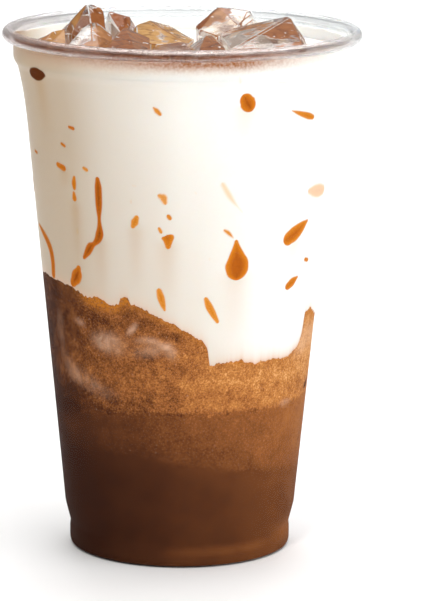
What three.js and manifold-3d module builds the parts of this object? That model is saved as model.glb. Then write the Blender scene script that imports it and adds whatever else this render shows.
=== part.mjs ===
// A clear cold cup of iced coffee: three brown layers, cold milk on them and clear ice at the top.
// Millimetres, +Z up. The origin is the middle of the ring that the cup stands on, and -Y is the
// front. An angle is counted from the front, and is positive to the right.

import * as THREE from 'three';
import { ConvexGeometry } from 'three/addons/geometries/ConvexGeometry.js';
import { mergeVertices } from 'three/addons/utils/BufferGeometryUtils.js';
import Module from 'manifold-3d';

const wasm = await Module();
wasm.setup();

// Driving dimensions of the cup. A 98 mm rim is the standard size that takes a dome or flat lid.
const RIM_RADIUS = 49.0;
const CUP_HEIGHT = 144.0;
const WALL = 0.7;

// The rolled bead is a tube of sheet, flattened a little, with its edge curled back to the wall.
const BEAD_HEIGHT = 3.4;
const CURL_SWEEP = 270;
const CURL_STEPS = 9;
const CURL_STEPS_INSIDE = 6;

// The collar that a lid grips, and the step under it that stops stacked cups from jamming.
const COLLAR_RADIUS = 46.0;
const COLLAR_FOOT = 136.6;
const STEP_RADIUS = 44.7;
const STEP_FOOT = 133.2;

// The long wall is a straight cone with a soft flare above it.
const CONE_TOP = { r: 42.1, z: 117.0 };
const FLARE_PULL = { r: 43.1, z: 127.0 };
const CONE_FOOT = { r: 31.9, z: 12.0 };

// The foot is a short cylinder under a shallow waist, and it stands on a narrow flat ring.
const FOOT_RADIUS = 30.6;
const FOOT_TOP = 4.2;
const WAIST = { r: 30.4, z: 6.1 };
const STAND_OUTER = 29.2;
const STAND_INNER = 27.8;
const FOOT_CORNER = 1.8;
const BASE_RISE = 2.6;
const BASE_SLOPE = 2.6;

// How finely round shapes are cut, and the gap between pieces that touch.
const CUP_SEGMENTS = 64;
const LAYER_SEGMENTS = 90;
const CURVE_STEPS = 3;
const GAP = 0.3;

// Levels of the drink, read at the wall. Each pair is an angle in degrees and a height.
const MILK_TOP = 137.4;
const COCOA_TOP = [
  [-90, 77.0], [-60, 77.2], [-45, 75.0], [-30, 73.6], [-24, 76.2], [-18, 73.8], [-8, 70.5],
  [4, 66.2], [9, 64.2], [12, 58.0], [30, 57.7], [54, 56.8], [60, 59.5], [65, 68.4], [76, 68.8],
  [90, 64.5], [125, 60.0], [160, 61.0], [200, 68.0], [235, 75.0],
];
const MOCHA_TOP = [[-75, 43.2], [-50, 41.0], [-23, 43.9], [45, 43.5], [120, 44.5], [200, 42.5]];
const DARK_TOP = [[-88, 26.2], [-40, 31.0], [-22, 31.6], [0, 28.8], [36, 26.2], [70, 23.0],
  [150, 25.5], [220, 28.0]];

// Ice. Each piece is a broken chunk, given by the corners that stand clear of the milk and by the
// depth to which it floats. Below the milk it narrows to a keel.
const KEEL_SHARE = 0.78;
const ICE = {
  ice_right: {
    keel: 120,
    crown: [[10.1, 4, 141.7], [16.5, 10, 143.1], [29.1, 12, 145.5], [30.9, 4, 143.5],
      [33.9, -6, 140.7], [33, -20, 141.0], [13, -24, 141.0], [26, 17, 141.5]],
  },
  ice_tall: {
    keel: 119,
    crown: [[-26, 8, 149.5], [-21.7, 10, 147.5], [-31.1, 4, 144.1], [-30.1, -1, 142.8],
      [-24.3, -4, 140.3], [-20.8, 3, 142.2], [-34, 14, 140.8], [-24, 20, 142.0]],
  },
  ice_left: {
    keel: 123,
    crown: [[-38.9, -13, 141.9], [-33, -6, 145.1], [-31.4, -3, 143.1], [-31.2, -14, 140.4],
      [-37, -20, 140.8], [-40.5, 0, 139.8], [-35.5, 5, 140.5]],
  },
  ice_front: {
    keel: 122,
    crown: [[-28.1, -14, 141.6], [-26.9, -9, 144.7], [-24.1, -5, 146.1], [-21.1, -4, 144.1],
      [-18.8, -9, 142.5], [-18.6, -18, 140.6], [-23, -27, 141.0], [-31, -22, 141.0]],
  },
  ice_block: {
    keel: 121,
    crown: [[-17.6, -6, 143.0], [-15.6, -3, 144.1], [-8.9, -6, 141.7], [-8.6, -22, 140.7],
      [-12, -34, 141.6], [-20.5, -29, 141.3]],
  },
  ice_middle: {
    keel: 124,
    crown: [[-20.6, 13, 146.6], [-14.6, 15, 144.7], [-14.3, 12, 142.9], [-19.6, 9, 143.9],
      [-16.5, 4, 141.2], [-22, 25, 141.2], [-12.5, 25, 139.9]],
  },
  ice_amber: {
    keel: 123,
    crown: [[-13.6, 14, 142.4], [-9.1, 20, 143.2], [-3.6, 21, 141.6], [3.3, 12, 138.9],
      [1.4, -1, 139.2], [-8, -3, 139.6], [-13, 2, 140.7]],
  },
  ice_back: {
    keel: 121,
    crown: [[3.6, 22, 141.5], [9.9, 27, 146.4], [18.7, 29, 145.3], [19.8, 26, 143.6],
      [15.7, 14, 142.3], [4.4, 16, 140.6], [8.8, 11, 139.8], [7, 35, 140.2], [21, 34, 140.8]],
  },
  ice_wedge: {
    keel: 124,
    crown: [[1.9, -8, 139.8], [7.2, -5, 143.0], [9.6, -4, 141.1], [12.4, -17, 140.0],
      [12, -29, 140.8], [4.5, -26, 140.6]],
  },
  ice_low: {
    keel: 125,
    crown: [[-8.0, -12, 139.8], [-6.1, -10, 140.4], [0, -10, 141.3], [1.6, -12, 140.3],
      [3.0, -31, 141.5], [-6.5, -34, 141.4]],
  },
};

const materials = {
  clearPet: material(0xf3f6f5, 0.06, 0.28),
  darkCoffee: material(0x4a2c1b, 0.4),
  mocha: material(0x744528, 0.45),
  cocoa: material(0xa8683e, 0.55),
  milk: material(0xf6efe2, 0.45),
  ice: material(0xcfc4b6, 0.1, 0.7),
};

function material(color, roughness, opacity = 1) {
  return new THREE.MeshStandardMaterial({
    color, roughness, metalness: 0, opacity, transparent: opacity < 1,
  });
}

// A smooth closed mesh: one vertex for each corner and no triangle without an area.
function closed(geometry) {
  geometry.deleteAttribute('normal');
  geometry.deleteAttribute('uv');
  const merged = mergeVertices(geometry, 1e-4);
  const corners = merged.index.array;
  const kept = [];
  for (let i = 0; i < corners.length; i += 3) {
    const [a, b, c] = [corners[i], corners[i + 1], corners[i + 2]];
    if (a !== b && b !== c && c !== a) kept.push(a, b, c);
  }
  merged.setIndex(kept);
  return merged;
}

function toManifold(geometry) {
  const mesh = new wasm.Mesh({
    numProp: 3,
    vertProperties: new Float32Array(geometry.attributes.position.array),
    triVerts: new Uint32Array(geometry.index.array),
  });
  mesh.merge();
  return new wasm.Manifold(mesh);
}

// The largest body of a cut piece. Scraps that a cut leaves beside it are dropped.
function toGeometry(manifold) {
  const bodies = manifold.decompose().sort((one, other) => other.volume() - one.volume());
  const { vertProperties, triVerts } = bodies[0].getMesh();
  const geometry = new THREE.BufferGeometry();
  geometry.setAttribute('position', new THREE.BufferAttribute(new Float32Array(vertProperties), 3));
  geometry.setIndex(Array.from(triVerts));
  return geometry;
}

// The outside of the cup from the standing ring to the foot of the bead.
function outsideWall() {
  const path = new THREE.Path();
  path.moveTo(STAND_OUTER, 0);
  path.quadraticCurveTo(FOOT_RADIUS, 0, FOOT_RADIUS, FOOT_CORNER);
  path.lineTo(FOOT_RADIUS, FOOT_TOP);
  path.quadraticCurveTo(FOOT_RADIUS, (FOOT_TOP + WAIST.z) / 2, WAIST.r, WAIST.z);
  path.quadraticCurveTo(WAIST.r + 0.8, (WAIST.z + CONE_FOOT.z) / 2, CONE_FOOT.r, CONE_FOOT.z);
  path.lineTo(CONE_TOP.r, CONE_TOP.z);
  path.quadraticCurveTo(FLARE_PULL.r, FLARE_PULL.z, STEP_RADIUS, STEP_FOOT);
  path.bezierCurveTo(STEP_RADIUS + 0.3, STEP_FOOT + 1.5, COLLAR_RADIUS, COLLAR_FOOT - 1.6,
    COLLAR_RADIUS, COLLAR_FOOT);
  return path.getPoints(CURVE_STEPS);
}

// The inside of the cup is the outside moved in by the wall, down to the groove round the floor.
const inside = outsideWall()
  .filter((point) => point.y > FOOT_CORNER * 0.9)
  .map((point) => new THREE.Vector2(point.x - WALL, point.y));

function insideRadius(z) {
  const above = inside.findIndex((point) => point.y >= z);
  if (above < 0) return COLLAR_RADIUS - WALL;
  if (above === 0) return inside[0].x;
  const [low, high] = [inside[above - 1], inside[above]];
  return THREE.MathUtils.mapLinear(z, low.y, high.y, low.x, high.x);
}

// The floor inside, from the middle to the corner: a raised disc and a groove over the ring.
function floorInside(rise) {
  const radiusOver = STAND_INNER - BASE_SLOPE;
  return [
    new THREE.Vector2(0, BASE_RISE + WALL + rise),
    new THREE.Vector2(radiusOver - rise, BASE_RISE + WALL + rise),
    new THREE.Vector2(STAND_INNER + 0.1, WALL + rise),
    new THREE.Vector2(STAND_OUTER - 0.4 - rise / 2, WALL + rise),
  ];
}

// The bead curls out over the top from the wall, and its edge ends under it, short of the wall.
function beadArc(sheet, steps) {
  const outerHalf = (RIM_RADIUS - COLLAR_RADIUS + WALL) / 2;
  const middle = new THREE.Vector2(RIM_RADIUS - outerHalf, CUP_HEIGHT - BEAD_HEIGHT / 2);
  const halfWidth = outerHalf - sheet;
  const halfHeight = BEAD_HEIGHT / 2 - sheet;
  return Array.from({ length: steps + 1 }, (_, step) => {
    const turn = THREE.MathUtils.degToRad(180 - (CURL_SWEEP * step) / steps);
    return new THREE.Vector2(middle.x + halfWidth * Math.cos(turn),
      middle.y + halfHeight * Math.sin(turn));
  });
}

function cupGeometry() {
  const underside = [
    new THREE.Vector2(0, BASE_RISE),
    new THREE.Vector2(STAND_INNER - BASE_SLOPE, BASE_RISE),
    new THREE.Vector2(STAND_INNER, 0),
  ];
  const profile = [
    ...underside,
    ...outsideWall(),
    ...beadArc(WALL, CURL_STEPS_INSIDE),
    ...beadArc(0, CURL_STEPS).reverse(),
    ...inside.slice().reverse(),
    ...floorInside(0).reverse(),
  ];
  return closed(new THREE.LatheGeometry(profile, CUP_SEGMENTS).rotateX(Math.PI / 2));
}

// A level that runs round the wall, from pairs of an angle and a height.
function levelAt(pairs, degrees) {
  const first = pairs[0];
  const round = [...pairs, [first[0] + 360, first[1]]];
  const turned = THREE.MathUtils.euclideanModulo(degrees - first[0], 360) + first[0];
  const next = round.findIndex((pair) => pair[0] > turned);
  const [low, high] = [round[next - 1], round[next]];
  return THREE.MathUtils.mapLinear(turned, low[0], high[0], low[1], high[1]);
}

// The face between two layers, from the axis to the wall. Away from the wall it evens out. The
// layer above starts a gap higher, straight over the points of the layer below.
function face(level, degrees, lift) {
  const edge = levelAt(level, degrees);
  const even = level.reduce((sum, pair) => sum + pair[1], 0) / level.length;
  return [0, 0.8, 1].map((share) => {
    const z = THREE.MathUtils.lerp(even, edge, share * share);
    return new THREE.Vector2(share * (insideRadius(z) - GAP), z + lift);
  });
}

// The stretch of wall between two heights, without its ends.
function wallBetween(low, high, steps) {
  return Array.from({ length: steps - 1 }, (_, step) => {
    const z = THREE.MathUtils.lerp(low, high, (step + 1) / steps);
    return new THREE.Vector2(insideRadius(z) - GAP, z);
  });
}

// A solid of revolution whose profile changes with the angle. Where the profile runs inwards, on a
// top face, its quads are split the other way, so that they lie parallel to the face above them.
function uneven(profileAt) {
  const sides = Array.from({ length: LAYER_SEGMENTS }, (_, side) => {
    const degrees = (360 * side) / LAYER_SEGMENTS;
    const turn = THREE.MathUtils.degToRad(degrees);
    return profileAt(degrees)
      .map(({ x, y }) => new THREE.Vector3(x * Math.sin(turn), -x * Math.cos(turn), y));
  });
  const profile = profileAt(0);
  const corners = [];
  for (let side = 0; side < LAYER_SEGMENTS; side += 1) {
    for (let i = 0; i < profile.length - 1; i += 1) {
      const here = side * profile.length + i;
      const beside = ((side + 1) % LAYER_SEGMENTS) * profile.length + i;
      if (profile[i + 1].x < profile[i].x) {
        corners.push(here, beside, beside + 1, here, beside + 1, here + 1);
      } else {
        corners.push(here, beside, here + 1, beside + 1, here + 1, beside);
      }
    }
  }
  return closed(new THREE.BufferGeometry().setFromPoints(sides.flat()).setIndex(corners));
}

function layerGeometry(below, above) {
  return uneven((degrees) => {
    const floor = face(below, degrees, GAP);
    const top = face(above, degrees, 0);
    const wall = wallBetween(floor.at(-1).y, top.at(-1).y, 2);
    return [...floor, ...wall, ...top.reverse()];
  });
}

function darkCoffeeGeometry() {
  return uneven((degrees) => {
    const floor = floorInside(GAP);
    const low = inside.filter((point) => point.y < CONE_FOOT.z)
      .map((point) => new THREE.Vector2(point.x - GAP, point.y + GAP / 2));
    const top = face(DARK_TOP, degrees, 0);
    return [...floor, ...low, ...top.reverse()];
  });
}

function milkGeometry() {
  const bulk = uneven((degrees) => {
    const floor = face(COCOA_TOP, degrees, GAP);
    const cone = wallBetween(floor.at(-1).y, CONE_TOP.z, 2);
    const flare = inside.filter((point) => point.y >= CONE_TOP.z && point.y < MILK_TOP)
      .map((point) => new THREE.Vector2(point.x - GAP, point.y));
    const edge = insideRadius(MILK_TOP) - GAP;
    return [...floor, ...cone, ...flare, new THREE.Vector2(edge, MILK_TOP),
      new THREE.Vector2(0, MILK_TOP)];
  });
  const hollows = Object.values(ICE).map((piece) => toManifold(chunk(piece, GAP)));
  return toGeometry(hollows.reduce((milk, hollow) => milk.subtract(hollow), toManifold(bulk)));
}

// One chunk of ice: its crown, and a keel of the same outline made smaller. With a swell, every
// corner is spread by that much each way, which gives the space that the chunk takes up.
function chunk({ crown, keel }, swell = 0) {
  const corners = crown.map((corner) => new THREE.Vector3(...corner));
  const middle = corners.reduce((sum, corner) => sum.add(corner), new THREE.Vector3())
    .divideScalar(corners.length);
  const lower = corners.map((corner) => corner.clone().lerp(middle, 1 - KEEL_SHARE).setZ(keel));
  const spread = swell > 0 ? [-swell, swell] : [0];
  const spreads = spread.flatMap((x) => spread.flatMap((y) => spread.map((z) => [x, y, z])));
  const all = [...corners, ...lower].flatMap((corner) => spreads
    .map((shift) => corner.clone().add(new THREE.Vector3(...shift))));
  return closed(new ConvexGeometry(all));
}

// Chunks that press together are broken back where they meet, each by the ones laid before it.
function iceGeometries() {
  const laid = [];
  return Object.entries(ICE).map(([name, piece]) => {
    const whole = toManifold(chunk(piece));
    const broken = laid.reduce((left, hollow) => left.subtract(hollow), whole);
    laid.push(toManifold(chunk(piece, GAP)));
    return [name, toGeometry(broken)];
  });
}

const icedCoffee = new THREE.Group();

function add(name, geometry, look) {
  const mesh = new THREE.Mesh(geometry, look);
  mesh.name = name;
  icedCoffee.add(mesh);
}

add('cup', cupGeometry(), materials.clearPet);
add('dark_coffee', darkCoffeeGeometry(), materials.darkCoffee);
add('mocha_layer', layerGeometry(DARK_TOP, MOCHA_TOP), materials.mocha);
add('cocoa_layer', layerGeometry(MOCHA_TOP, COCOA_TOP), materials.cocoa);
add('milk', milkGeometry(), materials.milk);
for (const [name, geometry] of iceGeometries()) add(name, geometry, materials.ice);

export default icedCoffee;
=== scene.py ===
# %% [markdown]
# Iced coffee in a clear cup.
#
# The drink is dark coffee at the foot, a mid-brown layer, a golden grainy cocoa layer and cold milk,
# with broken ice at the top and drops of coffee on the inside of the wall. The model that the script
# loads holds the cup, the layers and the ice as plain solids at their real size. Each gets a finer
# piece here: a smooth cup, layers with an uneven edge, and ice with worn edges. The drops, and a film
# of milk under the rim, are too thin to be solids, so they are made here alone.

# %% Load the model
import math
import random

import bmesh
import bpy
import numpy as np
from mathutils import Matrix, Vector, noise


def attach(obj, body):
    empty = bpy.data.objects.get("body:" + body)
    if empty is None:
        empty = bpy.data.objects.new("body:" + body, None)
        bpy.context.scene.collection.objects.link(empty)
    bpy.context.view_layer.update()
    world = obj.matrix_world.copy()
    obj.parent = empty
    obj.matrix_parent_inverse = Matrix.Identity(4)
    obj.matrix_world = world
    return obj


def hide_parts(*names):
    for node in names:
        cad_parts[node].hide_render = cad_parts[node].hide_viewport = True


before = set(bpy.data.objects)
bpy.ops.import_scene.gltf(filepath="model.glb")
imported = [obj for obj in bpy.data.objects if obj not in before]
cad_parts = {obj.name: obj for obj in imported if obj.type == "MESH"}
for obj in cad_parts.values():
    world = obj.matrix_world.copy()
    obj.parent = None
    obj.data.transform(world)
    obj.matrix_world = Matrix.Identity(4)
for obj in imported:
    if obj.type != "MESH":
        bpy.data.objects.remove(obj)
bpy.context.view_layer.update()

# %% [markdown]
# Two helpers serve the whole script. Colours are written as sRGB hex values, as a paint program shows
# them, and Blender's shaders work in linear light, so one function turns the first into the second.
# Node trees are wired by one more function, which adds a node, fills its inputs, links whatever
# socket it is given and hands back one output.

# %% Helpers for every cell
MM = 0.001


def linear(hex_colour):
    """An sRGB hex colour as linear red, green, blue and alpha."""
    parts = [int(hex_colour[i:i + 2], 16) / 255 for i in (1, 3, 5)]
    return [p / 12.92 if p <= 0.04045 else ((p + 0.055) / 1.055) ** 2.4 for p in parts] + [1.0]


def add(tree, kind, inputs=None, out=None, **settings):
    """Adds a node with its settings, fills or links its inputs, and returns one of its outputs."""
    made = tree.nodes.new("ShaderNode" + kind)
    for name, value in settings.items():
        setattr(made, name, value)
    shown = [socket for socket in made.inputs if socket.enabled]
    for key, value in (inputs or {}).items():
        socket = shown[key] if isinstance(key, int) else next(s for s in shown if s.name == key)
        if isinstance(value, bpy.types.NodeSocket):
            tree.links.new(value, socket)
        else:
            socket.default_value = value
    return next(s for s in made.outputs if s.enabled and out in (None, s.name))


def new_material(name):
    """An empty material, its node tree and its output node."""
    material = bpy.data.materials.new(name)
    material.use_nodes = True
    tree = material.node_tree
    tree.nodes.clear()
    return material, tree, tree.nodes.new("ShaderNodeOutputMaterial")


def make_piece(name, bm, materials, sharp=40):
    """Makes a smooth-shaded object of a bmesh, with edges over the given angle left sharp."""
    mesh = bpy.data.meshes.new(name)
    bm.to_mesh(mesh)
    bm.free()
    mesh.shade_smooth()
    mesh.set_sharp_from_angle(angle=math.radians(sharp))
    for material in materials:
        mesh.materials.append(material)
    piece = bpy.data.objects.new(name, mesh)
    bpy.context.scene.collection.objects.link(piece)
    print(f"{name}: {len(mesh.polygons)} faces")
    return piece


def store(piece, name, values):
    """Keeps one number for each vertex, for the material to read."""
    piece.data.attributes.new(name, "FLOAT", "POINT").data.foreach_set("value", values)


# %% [markdown]
# The camera stands a metre off and looks down at the cup by nearly twelve degrees, through a long
# lens, so that the rim shows as a flat ellipse. It aims a little to the right of the cup, which
# stands left of the middle of the picture.

# %% Camera
CAMERA_PLACE = Vector((0, -1.0, 0.2739))
CAMERA_AIM = Vector((0.0104, 0, 0.0681))
CAMERA_ROLL = 0.45
LENS, SENSOR = 221.6, 36

camera = bpy.data.objects.new("camera", bpy.data.cameras.new("camera"))
camera.data.lens = LENS
camera.data.sensor_width = SENSOR
camera.location = CAMERA_PLACE
looking = (CAMERA_AIM - CAMERA_PLACE).to_track_quat("-Z", "Y").to_matrix()
roll = Matrix.Rotation(math.radians(CAMERA_ROLL), 3, "Z")
camera.rotation_euler = (looking @ roll).to_euler()
bpy.context.scene.collection.objects.link(camera)
bpy.context.scene.camera = camera
bpy.context.scene.view_settings.view_transform = "Standard"
print("camera", round((CAMERA_AIM - CAMERA_PLACE).length, 3), "m from the cup")

# %% [markdown]
# Milk in a clear cup is lit like any food picture: one large soft light from the right and in front,
# a small one from the left that puts a gleam on the rim, one overhead, and one that whitens the table
# behind. A pale sky fills the shadows. It is dim enough for the dark coffee to stay dark behind its
# wall. The table top is matt white paint, which takes a soft shadow and shows no reflection.

# %% Floor and light
FLOOR_RADIUS = 4.0
FLOOR_DROP = 0.05
FLOOR_SIDES = 96
TABLE_WHITE = "#fbfbfb"
SKY = "#f4f5f7"
SKY_STRENGTH = 0.35
CUP_MIDDLE = (0, 0, 0.07)
LIGHTS = {
    "soft_right": dict(place=(1.2, -1.0, 0.9), size=2.0, watts=19.5, colour="#ffffff"),
    "small_left": dict(place=(-0.4, -1.15, 1.15), size=0.3, watts=7, colour="#fffaf2"),
    "overhead": dict(place=(0.1, 0.3, 1.7), size=1.5, watts=20, colour="#ffffff"),
    "far_table": dict(place=(0.1, 1.6, 1.5), size=1.2, watts=14, colour="#ffffff", aim=(0.1, 1.1, 0)),
}

world = bpy.data.worlds.new("sky")
world.use_nodes = True
sky = world.node_tree.nodes["Background"]
sky.inputs["Color"].default_value = linear(SKY)
sky.inputs["Strength"].default_value = SKY_STRENGTH
bpy.context.scene.world = world

for name, facts in LIGHTS.items():
    light = bpy.data.lights.new(name, "AREA")
    light.size = facts["size"]
    light.energy = facts["watts"]
    light.color = linear(facts["colour"])[:3]
    lamp = bpy.data.objects.new(name, light)
    lamp.location = facts["place"]
    aim = Vector(facts.get("aim", CUP_MIDDLE)) - lamp.location
    lamp.rotation_euler = aim.to_track_quat("-Z", "Y").to_euler()
    bpy.context.scene.collection.objects.link(lamp)

painted, tree, output = new_material("painted_table")
surface = add(tree, "BsdfPrincipled", inputs={
    "Base Color": linear(TABLE_WHITE), "Roughness": 0.8, "Specular IOR Level": 0.1})
tree.links.new(surface, output.inputs["Surface"])
bm = bmesh.new()
bmesh.ops.create_circle(bm, cap_ends=True, segments=FLOOR_SIDES, radius=FLOOR_RADIUS,
                        matrix=Matrix.Translation((0, 0, -FLOOR_DROP * MM)))
floor = make_piece("floor", bm, [painted])

# %% [markdown]
# The cup is thin clear plastic, drawn down from a sheet: a narrow foot with a recess under it, a
# waist, a long cone, a step where stacked cups rest on each other, a collar, and a bead rolled
# outwards at the rim. Its section is one closed line of a radius and a height, so spinning that line
# about the axis makes the whole cup. The curves are Bezier curves through the same points as the
# solid's, with more steps.

# %% Section of the cup
CURVE_STEPS = 9
WALL = 0.7
STAND_INNER, STAND_OUTER = (27.8, 0), (29.2, 0)
FOOT_CORNER, FOOT_TOP = (30.6, 1.8), (30.6, 4.2)
WAIST = (30.4, 6.1)
CONE_FOOT, CONE_TOP = (31.9, 12.0), (42.1, 117.0)
CONE_BULGE = 0.8
FLARE_PULL = (43.1, 127.0)
STEP, STEP_PULL = (44.7, 133.2), (45.0, 134.7)
COLLAR, COLLAR_PULL = (46.0, 136.6), (46.0, 135.0)
BASE_RISE, BASE_FLAT = 2.6, 25.2
GROOVE_INNER, GROOVE_OUTER = 27.9, 28.8
INSIDE_FROM = 1.6
BEAD_MIDDLE = (47.15, 142.3)
BEAD_HALF = (1.85, 1.7)
CURL_SWEEP, CURL_STEPS = 270, 30


def bend(*handles):
    """Points along a Bezier curve, without its first point."""
    points = []
    for step in range(1, CURVE_STEPS + 1):
        row = [Vector(handle) for handle in handles]
        while len(row) > 1:
            row = [a.lerp(b, step / CURVE_STEPS) for a, b in zip(row, row[1:])]
        points.append(tuple(row[0]))
    return points


def outside_wall():
    """The outside from the standing ring to the foot of the bead."""
    foot_pull = (FOOT_CORNER[0], 0)
    waist_pull = (FOOT_TOP[0], (FOOT_TOP[1] + WAIST[1]) / 2)
    cone_pull = (WAIST[0] + CONE_BULGE, (WAIST[1] + CONE_FOOT[1]) / 2)
    return [
        STAND_OUTER, *bend(STAND_OUTER, foot_pull, FOOT_CORNER), *bend(FOOT_TOP, waist_pull, WAIST),
        *bend(WAIST, cone_pull, CONE_FOOT), CONE_TOP, *bend(CONE_TOP, FLARE_PULL, STEP),
        *bend(STEP, STEP_PULL, COLLAR_PULL, COLLAR),
    ]


def bead(sheet):
    """The rolled bead at a depth in its sheet, from the wall over the top to the edge below."""
    half = [size - sheet for size in BEAD_HALF]
    turns = [math.radians(180 - CURL_SWEEP * step / CURL_STEPS) for step in range(CURL_STEPS + 1)]
    return [(BEAD_MIDDLE[0] + half[0] * math.cos(turn), BEAD_MIDDLE[1] + half[1] * math.sin(turn))
            for turn in turns]


inside = [(r - WALL, z) for r, z in outside_wall() if z > INSIDE_FROM]
underside = [(0, BASE_RISE), (BASE_FLAT, BASE_RISE), STAND_INNER]
cup_floor = [(GROOVE_OUTER, WALL), (GROOVE_INNER, WALL),
             (BASE_FLAT, BASE_RISE + WALL), (0, BASE_RISE + WALL)]
section = [*underside, *outside_wall(), *bead(WALL), *reversed(bead(0)), *reversed(inside), *cup_floor]
print("section of the cup:", len(section), "points")

# %% [markdown]
# The drink has to know how wide the cup is inside at every height. The outside wall, less its
# thickness, gives that, and numpy's interp reads it between the points.

# %% Inside of the cup
MIDDLE_RADIUS = 38
wall_heights = [z for r, z in outside_wall()]
wall_radii = [r - WALL for r, z in outside_wall()]


def inside_radius(heights):
    """The radius of the inner wall at each height, in mm."""
    return np.interp(heights, wall_heights, wall_radii)


print("inside, halfway up:", round(float(inside_radius(72.0)), 1), "mm in radius")

# %% [markdown]
# Clear cups are mostly PET, pressed from a glossy sheet, so the wall is smooth and colourless. Real
# PET bends light by an index of 1.57, and 1.5 is near enough for a wall this thin. Such a wall shows
# few of its own reflections beside the bright drink, so most light goes straight through it below the
# lip, and the grey tint on its gloss holds the rest back. A shader that bends light casts a black
# shadow, which thin plastic doesn't, so shadow rays pass straight through too. The lip takes a painted
# shade at the front and the left, a speckled grey-brown.

# %% Clear PET
LIP_FOOT, LIP_FULL = 140.6, 141.2
SHADED_LIP_SIDE = (-0.5, -0.87, 0)
LIP_SHADE_FROM, LIP_SHADE_TO = -25, 45
LIP_SPECKLE_SIZE = 0.6
BENT_FOOT, BENT_FULL = 140, 141.5
STRAIGHT_BELOW, STRAIGHT_ABOVE = 0.93, 0.35
PLASTIC_TINT, LIP_SHADE_TINT, GLOSS_TINT = "#fafbfb", "#d3c2bd", "#b4b4b4"

clear_pet, tree, output = new_material("clear_pet_sheet")
spot = add(tree, "TexCoord", out="Object")
height = add(tree, "SeparateXYZ", inputs={"Vector": spot}, out="Z")
lip = add(tree, "MapRange", inputs={"Value": height, "From Min": LIP_FOOT * MM, "From Max": LIP_FULL * MM})
front = add(tree, "VectorMath", operation="DOT_PRODUCT", inputs={0: spot, 1: SHADED_LIP_SIDE}, out="Value")
front = add(tree, "MapRange", inputs={
    "Value": front, "From Min": LIP_SHADE_FROM * MM, "From Max": LIP_SHADE_TO * MM})
lip_speckle = add(tree, "TexNoise", inputs={"Vector": spot, "Scale": 1 / (LIP_SPECKLE_SIZE * MM), "Detail": 2.0})
lip_speckle = add(tree, "MapRange", inputs={"Value": lip_speckle, "From Min": 0.35, "From Max": 0.65, "To Min": 0.15})
# The speckled grey-brown on the lip is painted shade, strongest towards the front left.
lip_shade = add(tree, "Math", operation="MULTIPLY", inputs={0: lip, 1: front})
lip_shade = add(tree, "Math", operation="MULTIPLY", inputs={0: lip_shade, 1: lip_speckle})
tint = add(tree, "Mix", data_type="RGBA",
           inputs={"Factor": lip_shade, "A": linear(PLASTIC_TINT), "B": linear(LIP_SHADE_TINT)})
plastic = add(tree, "BsdfPrincipled", inputs={
    "Base Color": tint, "Roughness": 0.03, "IOR": 1.5, "Transmission Weight": 1.0,
    "Specular Tint": linear(GLOSS_TINT)})
open_air = add(tree, "BsdfTransparent", inputs={"Color": tint})
passing = add(tree, "MapRange", inputs={
    "Value": height, "From Min": BENT_FOOT * MM, "From Max": BENT_FULL * MM,
    "To Min": STRAIGHT_BELOW, "To Max": STRAIGHT_ABOVE})
shadow_ray = add(tree, "LightPath", out="Is Shadow Ray")
straight = add(tree, "Math", operation="MAXIMUM", inputs={0: shadow_ray, 1: passing})
mixed = add(tree, "MixShader", inputs={0: straight, 1: plastic, 2: open_air})
tree.links.new(mixed, output.inputs["Surface"])

# %% [markdown]
# The cup is the section spun once round the axis. Points on the axis meet there, so doubles are merged
# before the normals are worked out again. Spinning leaves an even mesh, which bends light cleanly.

# %% Cup
CUP_STEPS = 160


def spin_section(points, steps):
    """Spins a line of radii and heights, in mm, round the axis. Its ends meet the axis or each other."""
    bm = bmesh.new()
    corners = [bm.verts.new((r * MM, 0, z * MM)) for r, z in points]
    edges = [bm.edges.new(pair) for pair in zip(corners, corners[1:])]
    bmesh.ops.spin(bm, geom=corners + edges, cent=(0, 0, 0), axis=(0, 0, 1),
                   angle=2 * math.pi, steps=steps, use_merge=True)
    bmesh.ops.remove_doubles(bm, verts=bm.verts, dist=0.001 * MM)
    bmesh.ops.recalc_face_normals(bm, faces=bm.faces)
    return bm


cup = make_piece("clear_cup", spin_section(section, CUP_STEPS), [clear_pet], sharp=50)
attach(cup, "root")
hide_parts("cup")

# %% [markdown]
# The levels between the layers aren't flat: the cocoa has sunk into the coffee and piled up on the
# left, and the pile ends in a small cliff just right of the middle. A level is a list of angles round
# the wall, counted from the front to the right, with a height in mm at each. A little noise makes it
# as uneven as poured drink, and both layers that meet at a level read the same one, so that they share
# their edge. Many more lists of pairs follow, and one short function reads them all.

# %% Levels between the layers
ROUND = 720
COCOA_TOP = [
    (-88, 77.0), (-72, 77.7), (-61, 77.3), (-50, 76.6), (-43, 74.9), (-36, 75.0), (-29, 73.5),
    (-26, 74.1), (-25, 75.6), (-23.5, 76.6), (-22, 76.1), (-20.5, 74.4), (-18, 73.7), (-13.5, 72.5),
    (-7.5, 70.5), (-1, 68.6), (4, 66.2), (6.5, 65.1), (9, 64.5), (10.8, 63.2), (11.7, 61.2),
    (12.4, 57.8), (16, 57.7), (21, 58.5), (25, 58.4), (30, 57.7), (37, 57.3), (47, 57.4),
    (53.6, 57.2), (56.4, 58.1), (60, 59.4), (62, 60.4), (63.4, 62.0), (64, 64.0), (64.3, 66.0),
    (65, 68.4), (71, 68.7), (77, 67.2), (88, 64.5), (100, 62.5), (125, 60.0), (160, 61.0),
    (200, 68.0), (235, 75.0)]
MOCHA_TOP = [(-75, 43.2), (-50, 41.0), (-23, 43.9), (45, 43.5), (120, 44.5), (200, 42.5)]
DARK_TOP = [(-88, 26.2), (-40, 31.0), (-22, 31.6), (0, 28.8), (36, 26.2), (70, 23.0), (150, 25.5),
            (220, 28.0)]
MILK_TOP = 137.4
WAVE_SLICE = 7
angles = np.arange(ROUND) * 360 / ROUND


def read(pairs, at, period=None):
    """The second number of the pairs at any first number, on straight lines between them."""
    return np.interp(at, *zip(*pairs), period=period)


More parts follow.
